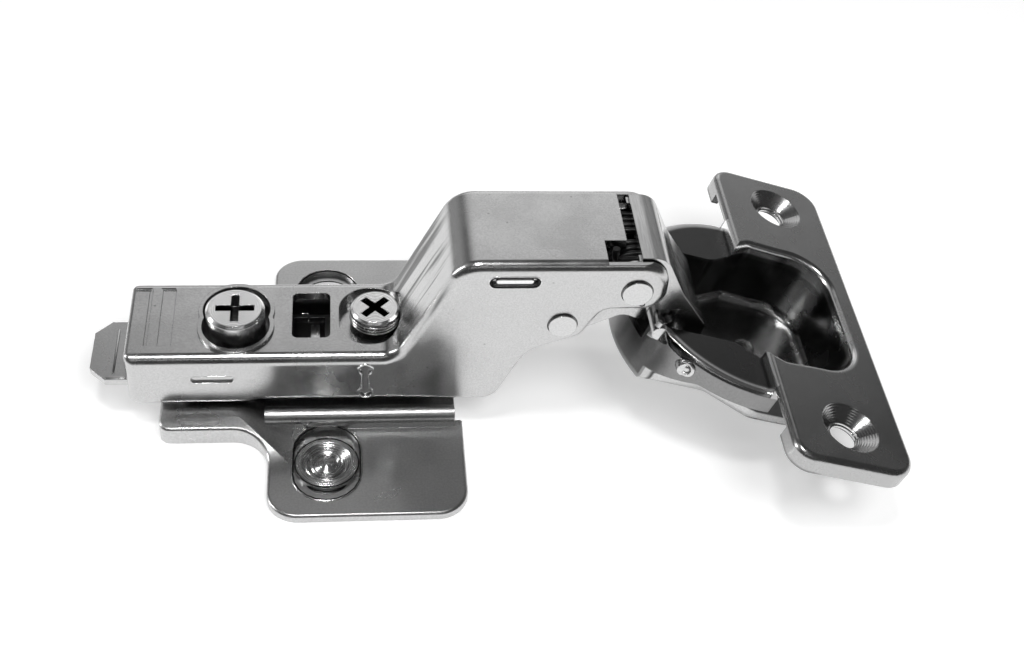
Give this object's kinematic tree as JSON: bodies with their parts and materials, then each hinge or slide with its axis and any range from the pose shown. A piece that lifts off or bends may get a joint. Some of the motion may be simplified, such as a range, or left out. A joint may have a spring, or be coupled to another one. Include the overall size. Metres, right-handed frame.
{
  "type": "concealed cup hinge",
  "caption": "Concealed cabinet hinge, fully open: clip-on cranked arm with depth and side adjustment, two links and closing spring, 35 mm cup with screw flange, wing mounting plate.",
  "frame": {"origin": "midway between the mounting plate's two screw holes, on the face that lies on the cabinet side", "axes": "+X along the arm towards the door, +Y along the line of the plate's screws, +Z off the cabinet side"},
  "size_m": [0.1093, 0.059, 0.0299],
  "materials": {
    "plated_steel": "satin nickel plate on pressed steel",
    "inner_steel": "zinc plate on pressed steel",
    "link_steel": "satin nickel plate",
    "pin_steel": "bright nickel plate",
    "screw_steel": "nickel-plated cast and turned",
    "spring_wire": "drawn wire"
  },
  "bodies": {
    "plate": {"mounting_plate": "plated_steel", "clip_base": "inner_steel", "front_hook_pin": "pin_steel", "lever_pin": "pin_steel", "lever_spring": "spring_wire"},
    "seat_near": {"height_seat_near": "screw_steel"},
    "seat_far": {"height_seat_far": "screw_steel"},
    "lever": {"release_lever": "plated_steel"},
    "slide": {"adjusting_slide": "inner_steel"},
    "cam": {"depth_cam_screw": "screw_steel"},
    "side_screw": {"side_screw": "screw_steel"},
    "arm": {"hinge_arm": "plated_steel", "arm_pin_front": "pin_steel", "arm_pin_rear": "pin_steel", "closing_spring": "spring_wire"},
    "outer_link": {"outer_link": "link_steel"},
    "inner_link": {"inner_link": "link_steel"},
    "cup": {"hinge_cup": "plated_steel", "cup_pin_outer": "pin_steel", "cup_pin_inner": "pin_steel"}
  },
  "joints": [
    {"name": "height_near", "type": "slide", "parent": "plate", "child": "seat_near", "axis": [0, 1, 0], "range_m": [-0.002, 0.002]},
    {"name": "height_far", "type": "slide", "parent": "plate", "child": "seat_far", "axis": [0, 1, 0], "range_m": [-0.002, 0.002]},
    {"name": "lever_turn", "type": "hinge", "parent": "plate", "child": "lever", "pos_m": [-0.0175, 0, 0.0062], "axis": [0, 1, 0], "range_deg": [0, 12], "stiffness_Nm_per_rad": 0.01, "springref_deg": -8.59},
    {"name": "depth_slide", "type": "slide", "parent": "plate", "child": "slide", "axis": [1, 0, 0], "range_m": [-0.002, 0.002]},
    {"name": "cam_turn", "type": "hinge", "parent": "slide", "child": "cam", "pos_m": [-0.0122, -0.0008, 0.01], "axis": [0, 0, 1], "range_deg": [-60.1, 60.1]},
    {"name": "side_screw_turn", "type": "hinge", "parent": "slide", "child": "side_screw", "pos_m": [0.0068, 0.001, 0.01], "axis": [0, 0, 1], "range_deg": [-175.5, 175.5]},
    {"name": "side_tilt", "type": "hinge", "parent": "slide", "child": "arm", "pos_m": [-0.0153, 0, 0.009], "axis": [0, -1, 0], "range_deg": [-1, 1]},
    {"name": "outer_link_turn", "type": "hinge", "parent": "arm", "child": "outer_link", "pos_m": [0.04095, 0, 0.0251], "axis": [0, 1, 0], "range_deg": [0, 28.6]},
    {"name": "door_swing", "type": "hinge", "parent": "outer_link", "child": "cup", "pos_m": [0.04786, 0, 0.01606], "axis": [0, -1, 0], "range_deg": [0, 135.6]},
    {"name": "inner_link_turn", "type": "hinge", "parent": "cup", "child": "inner_link", "pos_m": [0.0448, 0, 0.01852], "axis": [0, 1, 0], "range_deg": [0, 150.7]}
  ],
  "couplings": [
    {"joint": "height_far", "follows": "height_near", "ratio": 1},
    {"joint": "cam_turn", "follows": "depth_slide", "rad_per_m": 523.6},
    {"joint": "side_screw_turn", "follows": "side_tilt", "ratio": 175},
    {"joint": "outer_link_turn", "follows": "door_swing", "ratio": 0.2102},
    {"joint": "inner_link_turn", "follows": "door_swing", "ratio": 1.1111}
  ]
}
